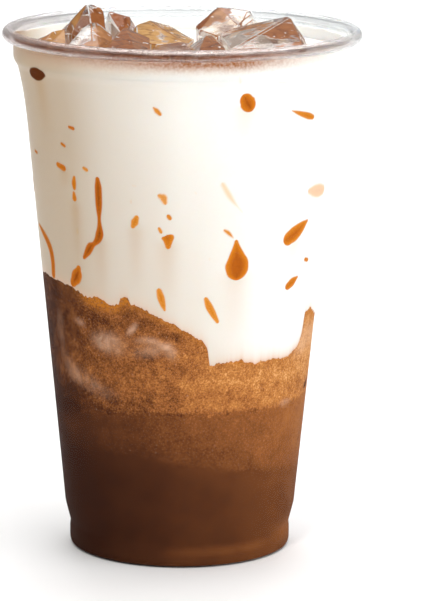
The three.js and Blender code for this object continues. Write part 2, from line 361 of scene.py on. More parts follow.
def level(points, waves):
    """Heights at every step round the wall, with waves of the given sizes and spacings in mm."""
    heights = read(points, angles, period=360)
    for size, spacing in waves:
        for i, angle in enumerate(np.radians(angles)):
            place = Vector((math.sin(angle), math.cos(angle), 0)) * (MIDDLE_RADIUS / spacing)
            heights[i] += size * noise.noise(place + Vector((0, 0, WAVE_SLICE * spacing)))
    return heights


def level_at(heights, angle):
    """The height of a level at any angles."""
    return np.interp(angle, angles, heights, period=360)


cocoa_top = level(COCOA_TOP, [(0.5, 3.0), (0.5, 1.1), (0.45, 0.55)])
mocha_top = level(MOCHA_TOP, [(0.8, 6.0), (0.7, 1.2), (0.4, 0.55)])
dark_top = level(DARK_TOP, [(1.0, 9.0), (0.5, 2.0), (0.3, 0.6)])
print("cocoa reaches up from", round(cocoa_top.min(), 1), "to", round(cocoa_top.max(), 1), "mm")

# %% [markdown]
# Each layer starts as a can of radius and height one, spun from its outline. Every vertex is then
# carried to its place: its height in the can becomes a height between the level below and the level
# above, and its radius becomes that share of the cup's inside. The drink wets the wall, so it
# reaches most of the way into the plastic, and no gap of air shows between the two.

# %% Layers of the drink
INTO_WALL = 0.62
SPIN_STEPS = 90
RINGS = [0, 0.05, 0.4, 0.75, 0.86, 0.95, 0.99]
CUP_FLOOR = [(0, 3.15), (0.86, 3.15), (0.95, 0.55), (1, 0.55)]


def evened(heights, share, step):
    """A level at a share of the radius: uneven at the wall, and flat towards the middle."""
    return heights.mean() + (heights[step] - heights.mean()) * share ** 2


def unit_can(rows, crowd):
    """A can with fine steps round it, whose vertices keep their share of the radius."""
    outline = [(share, 0) for share in RINGS]
    for row in range(rows + 1):
        even = row / rows
        outline.append((1, even - crowd * math.sin(2 * math.pi * even) / (2 * math.pi)))
    outline += [(share, 1) for share in reversed(RINGS)]
    bm = spin_section(outline, SPIN_STEPS)
    share = bm.verts.layers.float.new("share")
    for vert in bm.verts:
        vert[share] = vert.co.xy.length / MM
    round_it = [edge for edge in bm.edges
                if abs(edge.verts[0][share] - edge.verts[1][share]) < 0.001
                and abs(edge.verts[0].co.z - edge.verts[1].co.z) < 0.001 * MM]
    bmesh.ops.subdivide_edges(bm, edges=round_it, cuts=ROUND // SPIN_STEPS - 1)
    return bm, share


def layer_mesh(low, high, rows, crowd):
    """One layer of the drink. Its side has fine rows, closer at both ends if crowd is over 0."""
    bm, share_layer = unit_can(rows, crowd)
    x, y, t = np.array([vert.co for vert in bm.verts]).T / MM
    share = np.array([vert[share_layer] for vert in bm.verts])
    turn = np.arctan2(x, -y)
    step = np.rint(np.degrees(turn) * ROUND / 360).astype(int) % ROUND
    bottom = read(CUP_FLOOR, share) if low is None else evened(low, share, step)
    z = bottom + (evened(high, share, step) - bottom) * t
    radius = share * (inside_radius(z) + INTO_WALL)
    for vert, place in zip(bm.verts, zip(radius * np.sin(turn), -radius * np.cos(turn), z)):
        vert.co = Vector(place) * MM
    bm.verts.layers.float.remove(share_layer)
    bmesh.ops.recalc_face_normals(bm, faces=bm.faces)
    return bm


print("steps of", round(2 * math.pi * MIDDLE_RADIUS / ROUND, 2), "mm round the wall")

# %% [markdown]
# The three browns are one drink that settles from golden to nearly black, so one scale of tones
# serves them all and their borders stay soft. The tone is worked out for each vertex from its height
# and its angle: it falls from the cocoa to the foot, and by angle it falls to the left and rises to
# the right, which is painted shade and painted light. Patches that are cloudy with milk, darker or
# more orange are placed as soft ovals, each with an angle, a height, its two half sizes in mm, a tilt
# and a strength. A dark patch whose strength is below 0 makes its place paler instead.

# %% Tones of the coffee
TONE_BY_HEIGHT = [(0, 0.2), (2.5, 0.19), (6, 0.17), (12, 0.18), (20, 0.18), (26.5, 0.21),
                  (28.5, 0.3), (33, 0.35), (41, 0.38), (44, 0.41), (44.6, 0.53), (47, 0.53),
                  (50, 0.55), (52.5, 0.63), (55, 0.61), (58, 0.56), (78, 0.55)]
# By angle the tone takes painted shade to the left and painted light to the right.
BREW_SHADE_BY_ANGLE = [(-180, 0), (-90, -0.34), (-65, -0.28), (-48, -0.2), (-38, -0.14), (-29, -0.1),
                 (-15, -0.06), (0, 0), (19, 0.05), (42, 0.13), (70, 0.18), (90, 0.18), (180, 0)]
COCOA_SHADE_BY_ANGLE = [(-180, 0), (-90, -0.4), (-65, -0.32), (-48, -0.19), (-29, -0.1), (-15, -0.06),
                  (0, 0), (19, 0.1), (42, 0.17), (90, 0.22), (180, 0)]
BAND_BY_ANGLE = [(-180, 0.3), (-60, 0.05), (-48, 0.2), (-42, 0.8), (-30, 0.8), (-22, 0.7), (0, 0.6),
                 (10, 0.5), (13, 0.15), (33, 0.15), (60, 0.1), (66, 1), (90, 1), (180, 0.3)]
ORANGE_PATCHES = [
    (-37, 74.2, 3.6, 2.4, -10, 1.1),
    (-29, 73.0, 4.0, 1.6, 0, 0.8),
    (-23.4, 75.6, 1.5, 1.7, 0, 1.3),
    (25.7, 58.0, 2.2, 1.3, 0, 0.6),
    (80, 67.0, 5.0, 3.2, 0, 1.5),
]
PALE_PATCHES = [
    (-31.5, 62.8, 4.8, 2.7, -8, 0.6),
    (-20.5, 67.2, 0.9, 2.2, -40, 0.6),
    (-15, 64.4, 3.2, 1.0, 6, 0.3),
    (-8, 63.4, 4.0, 0.9, -24, 0.3),
    (-4.5, 61.8, 1.5, 2.4, 20, 0.4),
    (-13, 61.6, 4.2, 1.9, 10, 0.3),
    (-47, 67.2, 2.0, 0.9, -14, 0.45),
    (-62, 64.5, 2.0, 4.0, 0, 0.14),
    (-61, 57.8, 2.2, 4.0, 10, 0.05),
    (-55, 53.0, 3.6, 2.4, -40, 0.2),
    (-46, 51.0, 5.0, 2.4, -16, 0.2),
    (-36, 48.8, 4.6, 2.0, -12, 0.1),
    (54.7, 44.2, 2.4, 1.0, 0, 0.3),
    (68, 60.4, 7.0, 3.8, 10, 0.4),
    (84, 60.4, 4.5, 4.0, 0, 0.38),
]
DARK_PATCHES = [
    (-66, 72, 14, 7, -10, 0.06),
    (-36, 69.2, 9, 1.9, -12, 0.10),
    (-12, 68.3, 10, 1.6, -25, 0.10),
    (-15, 59.6, 2.4, 1.0, -10, 0.12),
    (-12.1, 55.9, 0.9, 0.9, 0, 0.14),
    (-77, 56, 4.0, 12, 0, 0.16),
    (-62, 45, 13, 4.5, 8, 0.16),
    (49, 55, 2.0, 1.8, 0, 0.10),
    (78, 46.6, 2.2, 1.1, 20, 0.6),
    (24, 4.4, 15, 1.3, 0, -0.11),
    (76, 5.5, 9, 3, 0, -0.1),
    (74, 61.0, 9.5, 6, 0, -0.12),
]
print(len(ORANGE_PATCHES + PALE_PATCHES + DARK_PATCHES), "patches in the coffee")

# %% [markdown]
# Every vertex of a layer stores three numbers for its material: its tone, painted shade included, how
# cloudy with milk it is, and how orange it is, from a band just under the top of the cocoa and from
# patches. Low down, the tone follows the uneven border of the dark coffee instead of a level height.

# %% Tone of each vertex
BORDER_TOP, BORDER_FADE = 42, 8
BAND_REACH = 1.7


def places(piece):
    """The angle in degrees and the height in mm of every vertex."""
    flat = np.empty(len(piece.data.vertices) * 3)
    piece.data.vertices.foreach_get("co", flat)
    x, y, z = flat.reshape(-1, 3).T / MM
    return np.degrees(np.arctan2(x, -y)), z


def patch(angle, z, facts):
    """How much an oval patch on the wall covers each place, from 0 to its strength."""
    at, height, wide, high, tilt, strength = facts
    along = ((angle - at + 180) % 360 - 180) * math.radians(inside_radius(height))
    up = z - height
    turn = math.radians(tilt)
    across = (along * math.cos(turn) + up * math.sin(turn)) / wide
    over = (up * math.cos(turn) - along * math.sin(turn)) / high
    return strength * np.exp(-(across ** 2 + over ** 2) ** 1.5)


def tone_layer(piece, shade_by_angle):
    """Stores how toned, cloudy and orange a layer is at each vertex, for its material to read."""
    angle, z = places(piece)
    rise = level_at(dark_top, angle) - dark_top.mean()
    evened_z = z - rise * np.clip((BORDER_TOP - z) / BORDER_FADE, 0, 1)
    # The tone by angle is painted shade on the left and painted light on the right.
    tone_and_shade = read(TONE_BY_HEIGHT, evened_z) + read(shade_by_angle, angle)
    tone_and_shade -= sum(patch(angle, z, facts) for facts in DARK_PATCHES)
    store(piece, "tone_and_shade", np.clip(tone_and_shade, 0, 1))
    store(piece, "pale", np.clip(sum(patch(angle, z, facts) for facts in PALE_PATCHES), 0, 1))
    under = level_at(cocoa_top, angle) - z
    band = read(BAND_BY_ANGLE, angle) * np.exp(-(under / BAND_REACH) ** 2)
    band += sum(patch(angle, z, facts) for facts in ORANGE_PATCHES)
    store(piece, "edge", np.clip(band, 0, 1.5))


# %% [markdown]
# Seen through the wall, the drink is a body that scatters light: cocoa grains and froth at the top,
# finer and darker further down. Grains are noise in the piece's own coordinates with the size of real
# grains, about half a millimetre, over blotches of a few millimetres. Both move the tone up and down
# the same scale of browns, from black coffee to golden cocoa. Dark coffee looks smooth and deep, the
# coffee with cocoa slightly grainy, and the froth of cocoa rough and sandy with a few pale bubbles.
# None has a gloss of its own, since the wall in front of it has that.

# %% Coffee materials
BROWNS = ["#391e14", "#4f2c1b", "#6c3f23", "#8f5730", "#b06f3b", "#cd8a4c", "#e4ac70"]
CLOUDY = "#e1b496"
EDGE_ORANGE = "#c0752a"
WISP_SIZE, BUBBLE_SPACING, CRUMB_SIZE = 4, 2.6, 0.6


def coffee(name, grains, roughness, froth):
    """Opaque coffee behind its wall, with its grains, its roughness and how much its bubbles show."""
    material, tree, output = new_material(name)
    spot = add(tree, "TexCoord", out="Object")
    # The stored tone holds painted shade and light by angle, besides the browns of the drink.
    tone_and_shade = add(tree, "Attribute", attribute_name="tone_and_shade", out="Fac")
    for size, share in grains:
        rough = add(tree, "TexNoise", inputs={
            "Vector": spot, "Scale": 1 / (size * MM), "Detail": 1.5, "Roughness": 0.7})
        moved = add(tree, "Math", operation="MULTIPLY_ADD", inputs={0: rough, 1: 2 * share, 2: -share})
        tone_and_shade = add(tree, "Math", operation="ADD", inputs={0: tone_and_shade, 1: moved})
    ramp = add(tree, "ValToRGB", inputs={"Fac": tone_and_shade})
    stops = ramp.node.color_ramp.elements
    for i, colour in enumerate(BROWNS):
        place = i / (len(BROWNS) - 1)
        stop = stops[i] if i == 0 else stops[-1] if place == 1 else stops.new(place)
        stop.position, stop.color = place, linear(colour)
    pale = add(tree, "Attribute", attribute_name="pale", out="Fac")
    wisps = add(tree, "TexNoise", inputs={
        "Vector": spot, "Scale": 1 / (WISP_SIZE * MM), "Detail": 4.0, "Distortion": 0.8})
    wisps = add(tree, "MapRange", inputs={"Value": wisps, "From Min": 0.35, "From Max": 0.6,
                                          "To Min": 0.5, "To Max": 1.2})
    cover = add(tree, "Math", operation="MULTIPLY", inputs={0: wisps, 1: pale}, use_clamp=True)
    bubbles = add(tree, "TexVoronoi", inputs={"Vector": spot, "Scale": 1 / (BUBBLE_SPACING * MM)},
                  out="Distance")
    bubbles = add(tree, "MapRange", inputs={"Value": bubbles, "From Min": 0.13, "From Max": 0.06,
                                            "To Max": froth})
    cover = add(tree, "Math", operation="MAXIMUM", inputs={0: cover, 1: bubbles})
    browns = add(tree, "Mix", data_type="RGBA",
                 inputs={"Factor": cover, "A": ramp, "B": linear(CLOUDY)})
    edge = add(tree, "Attribute", attribute_name="edge", out="Fac")
    crumbs = add(tree, "TexNoise", inputs={
        "Vector": spot, "Scale": 1 / (CRUMB_SIZE * MM), "Detail": 2.0})
    crumbs = add(tree, "MapRange", inputs={"Value": crumbs, "From Min": 0.35, "From Max": 0.6,
                                           "To Min": 0.1, "To Max": 0.85})
    band = add(tree, "Math", operation="MULTIPLY", inputs={0: edge, 1: crumbs}, use_clamp=True)
    browns = add(tree, "Mix", data_type="RGBA",
                 inputs={"Factor": band, "A": browns, "B": linear(EDGE_ORANGE)})
    surface = add(tree, "BsdfPrincipled", inputs={
        "Base Color": browns, "Roughness": roughness, "Specular IOR Level": 0.0})
    tree.links.new(surface, output.inputs["Surface"])
    return material


# Each grain is a size in mm and how far it moves the tone.
dark_brew = coffee("brewed_coffee_dark", [(0.6, 0.02), (2.5, 0.04), (9, 0.08)], 0.45, 0.0)
mocha_brew = coffee("coffee_with_cocoa", [(0.5, 0.2), (1.5, 0.08), (7, 0.10)], 0.5, 0.1)
cocoa_froth = coffee("cocoa_froth", [(0.46, 0.42), (1.3, 0.22), (4.5, 0.22)], 0.6, 0.2)

# %% [markdown]
# The three layers are made from the same can, each with enough rows up its side for its own edge, and
# the tones are stored on them last, when every vertex is in its place.

# %% Dark coffee, mocha and cocoa
dark = make_piece("dark_coffee_fill", layer_mesh(None, dark_top, 36, 0.0), [dark_brew], sharp=60)
mocha = make_piece("mocha_fill", layer_mesh(dark_top, mocha_top, 26, 0.0), [mocha_brew], sharp=60)
cocoa = make_piece("cocoa_fill", layer_mesh(mocha_top, cocoa_top, 44, 0.0), [cocoa_froth], sharp=60)
for piece, node, slot, shade_by_angle in ((dark, "dark_coffee", "dark_coffee", BREW_SHADE_BY_ANGLE),
                                    (mocha, "mocha_layer", "mocha", BREW_SHADE_BY_ANGLE),
                                    (cocoa, "cocoa_layer", "cocoa", COCOA_SHADE_BY_ANGLE)):
    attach(piece, "root")
    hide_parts(node)
    tone_layer(piece, shade_by_angle)

# %% [markdown]
# Drops of coffee cling to the inside of the wall above the cocoa. They are thin films, so each is a
# small sheet that lies on the wall, with an outline that follows a smooth line of stations. A station
# is an angle, a height and half the film's width there, in degrees and mm. A drop that has run is
# often thin where it started and wider where it stopped. Two numbers come first: how strong the
# coffee in it is, from a faint smear at 0.2 to nearly black at 1.9, and the length in mm of the stain
# that it left on the milk below, if it left one.

# %% Drops and runs
MILK = "#fcfaf6"
# The grey-brown of the milk is painted shade on its left and the stain of streaks below drops.
MILK_STAIN_AND_SHADE = "#bb9f7c"
DROP_STEPS = 5
DROP_ACROSS = 12
DROP_LIFT = 0.67
DROP_THICK = 0.22
DROPS = [
    (1.9, 18, [(-63.6, 133.7, 1.2), (-61.7, 133.9, 1.8), (-59.3, 134.1, 2.0), (-56.9, 134.4, 1.8),
               (-55.0, 134.6, 1.2)]),
    (0.8, 0, [(-9.6, 128.1, 0.55), (-8.8, 127.5, 0.9), (-7.8, 126.7, 0.8)]),
    (1.2, 12, [(22.7, 129.9, 2.1), (23.1, 129.4, 2.4), (23.5, 128.9, 2.3)]),
    (1.1, 0, [(42.5, 126.0, 0.3), (46.5, 125.0, 0.8), (51.5, 123.9, 1.1), (54.4, 123.3, 0.9)]),
    (0.3, 0, [(34.4, 134.2, 0.35), (37.8, 133.9, 0.3)]),
    (0.2, 0, [(19.0, 136.6, 0.4), (19.5, 135.2, 0.6)]),
    (1.45, 0, [(-44.5, 121.0, 0.6), (-42.8, 120.8, 0.7)]),
    (1.3, 0, [(-49.5, 116.0, 0.6), (-48.1, 115.6, 0.6)]),
    (1.4, 0, [(-72.3, 111.7, 0.5), (-70.0, 111.5, 0.55)]),
    (1.3, 6, [(-52.8, 110.0, 0.9), (-49.6, 109.4, 1.05)]),
    (0.9, 0, [(-38.6, 110.3, 0.7), (-37.6, 110.0, 0.75)]),
    (1.3, 0, [(-83.2, 102.9, 0.6), (-84.4, 99.6, 0.7)]),
    (1.2, 0, [(-44.0, 107.2, 0.7), (-44.3, 105.8, 1.0), (-44.3, 104.6, 0.8)]),
    (1.2, 22, [(-44.7, 102.9, 0.7), (-44.6, 101.7, 1.0)]),
    (0.4, 0, [(-44.3, 93.2, 0.3), (-44.3, 92.2, 0.4)]),
    (1.45, 20, [(-32.7, 107.6, 0.9), (-32.6, 105.5, 1.3), (-32.7, 101.5, 1.3), (-32.8, 99.3, 1.1),
                (-32.9, 97.0, 0.75), (-32.9, 94.8, 1.0), (-33.1, 92.9, 1.5), (-34.1, 91.2, 1.3),
                (-36.1, 89.8, 0.9), (-37.9, 88.9, 1.4), (-39.5, 87.4, 1.3), (-41.4, 85.8, 0.8)]),
    (1.3, 0, [(-77.9, 90.6, 0.6), (-72.4, 89.3, 1.1), (-67.4, 87.4, 1.4), (-64.6, 85.0, 1.5),
               (-63.8, 82.0, 1.4), (-64.3, 78.6, 1.3)]),
    (1.3, 0, [(-45.2, 82.1, 1.1), (-45.9, 80.9, 1.9), (-47.2, 79.5, 2.1), (-48.9, 78.1, 1.5)]),
    (0.25, 0, [(-18.2, 106.9, 0.35), (-17.1, 106.8, 0.3)]),
    (0.5, 0, [(-19.1, 102.8, 0.25), (-19.1, 102.2, 0.3)]),
    (0.95, 20, [(-17.2, 98.0, 0.95), (-17.9, 96.9, 1.25), (-18.5, 96.0, 0.9)]),
    (0.62, 0, [(-7.7, 104.3, 1.0), (-6.7, 103.9, 1.35), (-6.2, 102.9, 1.0)]),
    (1.1, 0, [(-4.7, 98.8, 0.75), (-4.4, 98.5, 0.75)]),
    (1.0, 0, [(-8.3, 95.4, 0.6), (-7.8, 94.7, 0.65)]),
    (1.1, 20, [(-5.4, 93.8, 0.25), (-5.3, 93.6, 1.6), (-5.1, 93.0, 1.9), (-5.0, 92.2, 1.5),
               (-5.0, 91.4, 1.2), (-5.0, 90.9, 1.0)]),
    (0.35, 0, [(15.6, 107.2, 1.0), (17.8, 104.6, 1.1), (19.8, 102.6, 0.8), (21.9, 100.9, 0.4),
               (23.4, 99.7, 0.3)]),
    (0.2, 0, [(5.2, 105.4, 0.4), (5.4, 105.2, 0.4)]),
    (0.8, 0, [(16.9, 94.8, 0.6), (18.0, 94.3, 0.75), (19.1, 93.6, 0.65), (20.2, 92.8, 0.35)]),
    (1.15, 24, [(21.7, 91.4, 0.8), (21.9, 89.8, 1.5), (22.2, 87.6, 2.6), (22.5, 85.8, 3.5),
                (22.5, 84.5, 3.6)]),
    (1.1, 10, [(57.8, 94.4, 0.7), (54.4, 93.2, 1.8), (50.3, 91.8, 2.4), (46.8, 90.8, 2.2)]),
    (0.42, 0, [(58.2, 102.7, 1.3), (61.5, 102.4, 2.0), (66.0, 102.0, 2.2), (70.0, 101.7, 1.8)]),
    (1.2, 0, [(59.8, 83.6, 0.75), (61.4, 83.3, 0.75)]),
    (1.15, 0, [(54.4, 79.2, 0.6), (51.6, 78.3, 1.4), (49.0, 77.4, 1.3)]),
    (0.6, 0, [(86.5, 103.9, 0.4), (88.0, 103.7, 0.4)]),
    (0.25, 0, [(11.1, 87.3, 0.3), (11.1, 87.0, 0.3)]),
    (0.9, 0, [(-8.6, 78.2, 1.0), (-8.0, 76.6, 1.25), (-7.2, 74.6, 1.0), (-6.6, 73.3, 0.6)]),
    (1.0, 0, [(10.2, 76.0, 0.8), (11.3, 74.3, 1.15), (13.0, 72.2, 1.1), (15.0, 69.9, 0.7)]),
]

# %% [markdown]
# A drop could be a flattened sphere, but most have run, so each starts as a flat grid instead. Its
# columns follow the line through the stations, with a half circle at each end, and its rows reach as
# far to both sides as the film is wide there. The sheet lies in the thickness of the wall, a hair
# further out than the milk, so that the milk doesn't hide it.

# %% Shape of a drop
END_TURNS = [15, 30, 45, 60, 75, 87]
WOBBLE, WOBBLE_SIZE, WOBBLE_ACROSS = 0.06, 1.2, 9


def through(stations):
    """Places on a smooth line through the stations, each as mm round the wall, height and width."""
    radius = float(inside_radius(stations[0][1])) + DROP_LIFT
    points = [Vector((math.radians(angle) * radius, z, half)) for angle, z, half in stations]
    points = [2 * points[0] - points[1], *points, 2 * points[-1] - points[-2]]
    line = []
    for a, b, c, d in zip(points, points[1:], points[2:], points[3:]):
        for step in range(DROP_STEPS):
            t = step / DROP_STEPS
            line.append((2 * b + (c - a) * t + (2 * a - 5 * b + 4 * c - d) * t ** 2
                         + (3 * b - a - 3 * c + d) * t ** 3) / 2)
    return [*line, points[-2]], radius


def with_round_ends(line):
    """Adds a half circle of places at both ends of the line."""
    ends = []
    for end, inward in ((line[0], line[1]), (line[-1], line[-2])):
        away = (end - inward).xy.normalized()
        ends.append([Vector((*(end.xy + away * end.z * math.sin(turn)), end.z * math.cos(turn)))
                     for turn in map(math.radians, END_TURNS)])
    return [*reversed(ends[0]), *line, *ends[1]]


def drop_mesh(stations):
    """A thin sheet of coffee on the wall, and its distance from the outline at every vertex."""
    line, radius = through(stations)
    line = with_round_ends(line)
    bm = bmesh.new()
    bmesh.ops.create_grid(bm, x_segments=len(line) - 1, y_segments=DROP_ACROSS, size=1)
    film = bm.verts.layers.float.new("film")
    for vert in bm.verts:
        i = round((vert.co.x + 1) / 2 * (len(line) - 1))
        here = line[i]
        ahead = (line[min(i + 1, len(line) - 1)] - line[max(i - 1, 0)]).xy.normalized()
        grain = Vector((here.x, here.y, WOBBLE_ACROSS * vert.co.y))
        wobble = 1 + WOBBLE * noise.noise(grain / WOBBLE_SIZE)
        side = Vector((-ahead.y, ahead.x)) * here.z * vert.co.y * wobble
        place = here.xy + side
        reach = float(inside_radius(place.y)) + DROP_LIFT
        turn = place.x / radius
        vert[film] = here.z * (1 - abs(vert.co.y))
        vert.co = Vector((reach * math.sin(turn), -reach * math.cos(turn), place.y)) * MM
    return bm


# %% [markdown]
# All the drops share one mesh, because they are one piece. Each sheet gets its thickness by an
# extrusion, whose new faces move towards the axis, and each vertex keeps how strong its drop is.

# %% Drops joined
joined = bmesh.new()
film_layer = joined.verts.layers.float.new("film")
strength_layer = joined.verts.layers.float.new("strength")
for strength, streak, stations in DROPS:
    bm = drop_mesh(stations)
    strong = bm.verts.layers.float.new("strength")
    for vert in bm.verts:
        vert[strong] = strength
    inner = bmesh.ops.extrude_face_region(bm, geom=bm.faces[:])["geom"]
    for vert in (item for item in inner if isinstance(item, bmesh.types.BMVert)):
        vert.co -= vert.co.xy.normalized().to_3d() * DROP_THICK * MM
    bmesh.ops.recalc_face_normals(bm, faces=bm.faces)
    part = bpy.data.meshes.new("drop")
    bm.to_mesh(part)
    bm.free()
    joined.from_mesh(part)
    bpy.data.meshes.remove(part)
print(len(DROPS), "drops and runs")

# %% [markdown]
# Thin coffee is golden where it thins out to its outline and brown where it is thick, with fine
# specks of cocoa in it. A film shows the milk behind it, but true see-through layers a fifth of a
# millimetre apart would be dark and noisy behind the clear wall, so the film is opaque and mixes its
# own colour with the milk's at its outline. A strong drop is darker, and a faint one fades out wider.

# %% Film of coffee
FILM_TONES = ((0.0, "#f4b869"), (0.2, "#df9440"), (0.45, "#d0791f"), (0.75, "#b9601a"),
              (1.0, "#5c2806"))
THICKEST = 2.2
SPECK_SIZE = 0.45

coffee_film, tree, output = new_material("film_of_coffee")
strength = add(tree, "Attribute", attribute_name="strength", out="Fac")
film = add(tree, "Attribute", attribute_name="film", out="Fac")
spot = add(tree, "TexCoord", out="Object")
speckle = add(tree, "TexNoise", inputs={"Vector": spot, "Scale": 1 / (SPECK_SIZE * MM), "Detail": 2.0})
thick = add(tree, "MapRange", inputs={"Value": film, "From Max": THICKEST, "To Max": 0.5})
thick = add(tree, "Math", operation="MULTIPLY_ADD", inputs={0: speckle, 1: 0.3, 2: thick})
faint = add(tree, "MapRange", inputs={"Value": strength, "From Min": 0.3, "From Max": 0.8})
thick = add(tree, "Math", operation="MULTIPLY", inputs={0: thick, 1: faint})
extra = add(tree, "MapRange", inputs={"Value": strength, "From Min": 1.0, "From Max": 2.0,
                                      "To Max": 0.9})
thick = add(tree, "Math", operation="ADD", inputs={0: thick, 1: extra})
ramp = add(tree, "ValToRGB", inputs={"Fac": thick})
stops = ramp.node.color_ramp.elements
for place, colour in FILM_TONES:
    stop = stops[0] if place == 0 else stops[-1] if place == 1 else stops.new(place)
    stop.position, stop.color = place, linear(colour)
fade = add(tree, "MapRange", inputs={"Value": strength, "From Min": 0.3, "From Max": 1.0,
                                     "To Min": 1.0, "To Max": 0.4})
rim = add(tree, "MapRange", interpolation_type="SMOOTHSTEP",
          inputs={"Value": film, "From Max": fade, "To Min": 0.1})
weight = add(tree, "MapRange", inputs={"Value": strength, "From Max": 0.65})
weight = add(tree, "Math", operation="MULTIPLY", inputs={0: weight, 1: rim})
# Behind a drop's outline the milk keeps its painted shade and its stains.
stain_and_shade = add(tree, "Attribute", attribute_name="stain_and_shade", out="Fac")
behind = add(tree, "Mix", data_type="RGBA",
             inputs={"Factor": stain_and_shade, "A": linear(MILK), "B": linear(MILK_STAIN_AND_SHADE)})
tinted = add(tree, "Mix", data_type="RGBA", inputs={"Factor": weight, "A": behind, "B": ramp})
surface = add(tree, "BsdfPrincipled", inputs={
    "Base Color": tinted, "Roughness": 0.4, "Specular IOR Level": 0.0})
tree.links.new(surface, output.inputs["Surface"])

drops = make_piece("coffee_drops", joined, [coffee_film], sharp=60)
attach(drops, "root")

# %% [markdown]
# The ice is clear ice in broken cubes that lie half sunk in the milk. What a facet shows depends on
# which way it faces: brown where coffee clings to it, grey where it is clear, white where it is
# frosted. A facet is listed as the angle and the slope that it faces, in degrees, then how much coffee
# is on it, how much more there is higher up, how golden that coffee is, and how much frost there is.

# %% Facets of the ice
ICE = {
    "ice_right": [(-77, 79, 0.25, 0.1, 0.3, 0.3), (11, 82, 0.45, 0, 0.1, 0.1), (88, 49, 0.7, 0, 0.1, 0.2),
                  (-84, -8, 0, 0, 0, 1)],
    "ice_tall": [(50, 45, 0.5, 0.1, 0.1, 0.3), (3, 53, 0.2, -0.1, 0.5, 0.4), (-61, 50, 0.8, 0, 0.6, 0.1),
                 (-91, 43, 1, 0, 0, 0), (-77, 8, 0.7, 0, 0.2, 0.2)],
    "ice_left": [(-49, 70, 0.7, 0, 0.3, 0.1), (50, 54, 0.8, 0, 0.7, 0.1), (83, 31, 0.1, 0, 0, 0.8)],
    "ice_front": [(-32, 74, 0.3, -0.1, 0.2, 0.3), (68, 61, 0.6, -0.2, 0.3, 0.2),
                  (89, 56, 0.4, 0, 0.4, 0.6)],
    "ice_block": [(83, 70, 0.95, 0, 0.15, 0), (-44, 83, 0.9, 0, 0.05, 0), (-89, 62, 0.8, 0, 0.3, 0.1)],
    "ice_middle": [(49, 59, 0.95, 0, 0, 0), (86, 16, 0.8, 0, 0.1, 0.2), (64, 41, 0.8, 0, 0.1, 0.2),
                   (-25, 50, 0.2, 0, 0, 0.9)],
    "ice_amber": [(23, 81, 0.75, 0, 1, 0.1), (84, 72, 0.65, 0, 0.9, 0.2)],
    "ice_back": [(-29, 66, 0.2, 0, 0.3, 0.3), (-69, 57, 0.4, 0.2, 0, 0.2), (37, 74, 0.3, 0, 0, 0.4),
                 (63, 54, 0.1, 0, 0, 0.5)],
    "ice_wedge": [(-33, 83, 0.6, 0, 0.1, 0.1), (95, 55, 0.8, 0, 0.5, 0.2), (-86, 60, 0.4, 0, 0.2, 0.4)],
    "ice_low": [(-108, 86, 0.9, 0, 0.1, 0), (-97, 70, 0.7, 0, 0, 0.2)],
}
LOOKS = ["film", "rise", "amber", "frost"]
# The first look paints a highlight on an edge, white with frost; the second makes an edge dark.
HIGHLIGHT_EDGE, DARK_EDGE = (0.2, 0, 0.3, 0.6), (0.9, 0, 0.2, 0)
print(sum(map(len, ICE.values())), "facets on", len(ICE), "chunks of ice")

# %% [markdown]
# Coffee also pools in places on a facet. Such a spot is an oval in plan: its x and y, its two half
# sizes in mm, and how much coffee and frost it adds, or takes away where the number is below 0.

# %% Spots on the ice
ICE_SPOTS = {
    "ice_right": [(13.5, 5.2, 4, 2.4, 0.8, 0), (19.5, 7.5, 4, 2.4, 0.8, 0), (26, 8.5, 4, 3, 0.8, 0),
                  (28.5, -1, 3.4, 7, 0.7, -0.2), (25.5, -6, 3, 3, 0.6, 0), (29, -15.8, 6, 3, 0.7, -0.2),
                  (22, -12.6, 3, 1.8, -0.7, 0.5), (26, -11, 3, 1.8, -0.7, 0.5),
                  (30.5, -9, 3, 1.8, -0.7, 0.5),
                  (12, -12, 2.5, 6, -0.2, 0.35), (17, -7, 4, 4, 0.25, 0), (20, 0, 3, 3, 0.3, 0.1)],
    "ice_back": [(9.5, 23.5, 4.2, 5, 0.9, -0.3), (5.2, 21.5, 2.2, 4, 0.9, -0.3),
                 (16.8, 22.5, 2.6, 4, -0.2, 0.35), (6.5, 15, 3.5, 3, -0.3, 0.6)],
    "ice_wedge": [(7.8, -17, 1.9, 7, 0.6, 0), (4.4, -14, 1.4, 6, 0.1, 0)],
    "ice_tall": [(-29.5, 4, 1.6, 4, 0.5, -0.3), (-22.6, 5, 1.9, 3, 0.6, -0.2),
                 (-25.3, 7, 1.6, 2.5, -0.3, 0.3)],
    "ice_front": [(-26.1, -11.5, 1.9, 6, -0.4, 0.7), (-21.7, -11, 1.7, 4, 0.5, -0.1),
                  (-24.2, -21, 1.5, 3, 0.6, 0), (-29.6, -18, 1.6, 5, -0.3, 0.4)],
    "ice_amber": [(-4.8, 3.5, 1.5, 5, -0.5, 0.7), (-3.2, 13, 1.5, 4, 0.3, 0.3)],
}
SPOT_FILM, SPOT_FROST = 4, 5


def spot_on_ice(piece, spots, look):
    """Adds up the spots of one look at every vertex of a chunk."""
    x, y = np.array([vert.co.xy for vert in piece.data.vertices]).T / MM
    covered = [facts[look] * np.exp(-((x - facts[0]) / facts[2]) ** 2 - ((y - facts[1]) / facts[3]) ** 2)
               for facts in spots]
    return sum(covered, np.zeros(len(x)))


# %% [markdown]
# Each chunk is a copy of its solid, so it stays where it is. Neighbouring facets that are nearly flat
# to each other merge. About a third of the edges are chipped, then every edge is rounded a little, as
# melting does, and both are bevels. Last, the faces get a slight waviness, which is what bends the
# light about inside real ice. A chip takes the look of the listed facet that faces most nearly its
# way, and a rounded edge is either a painted highlight, white with frost, or dark, in stretches.

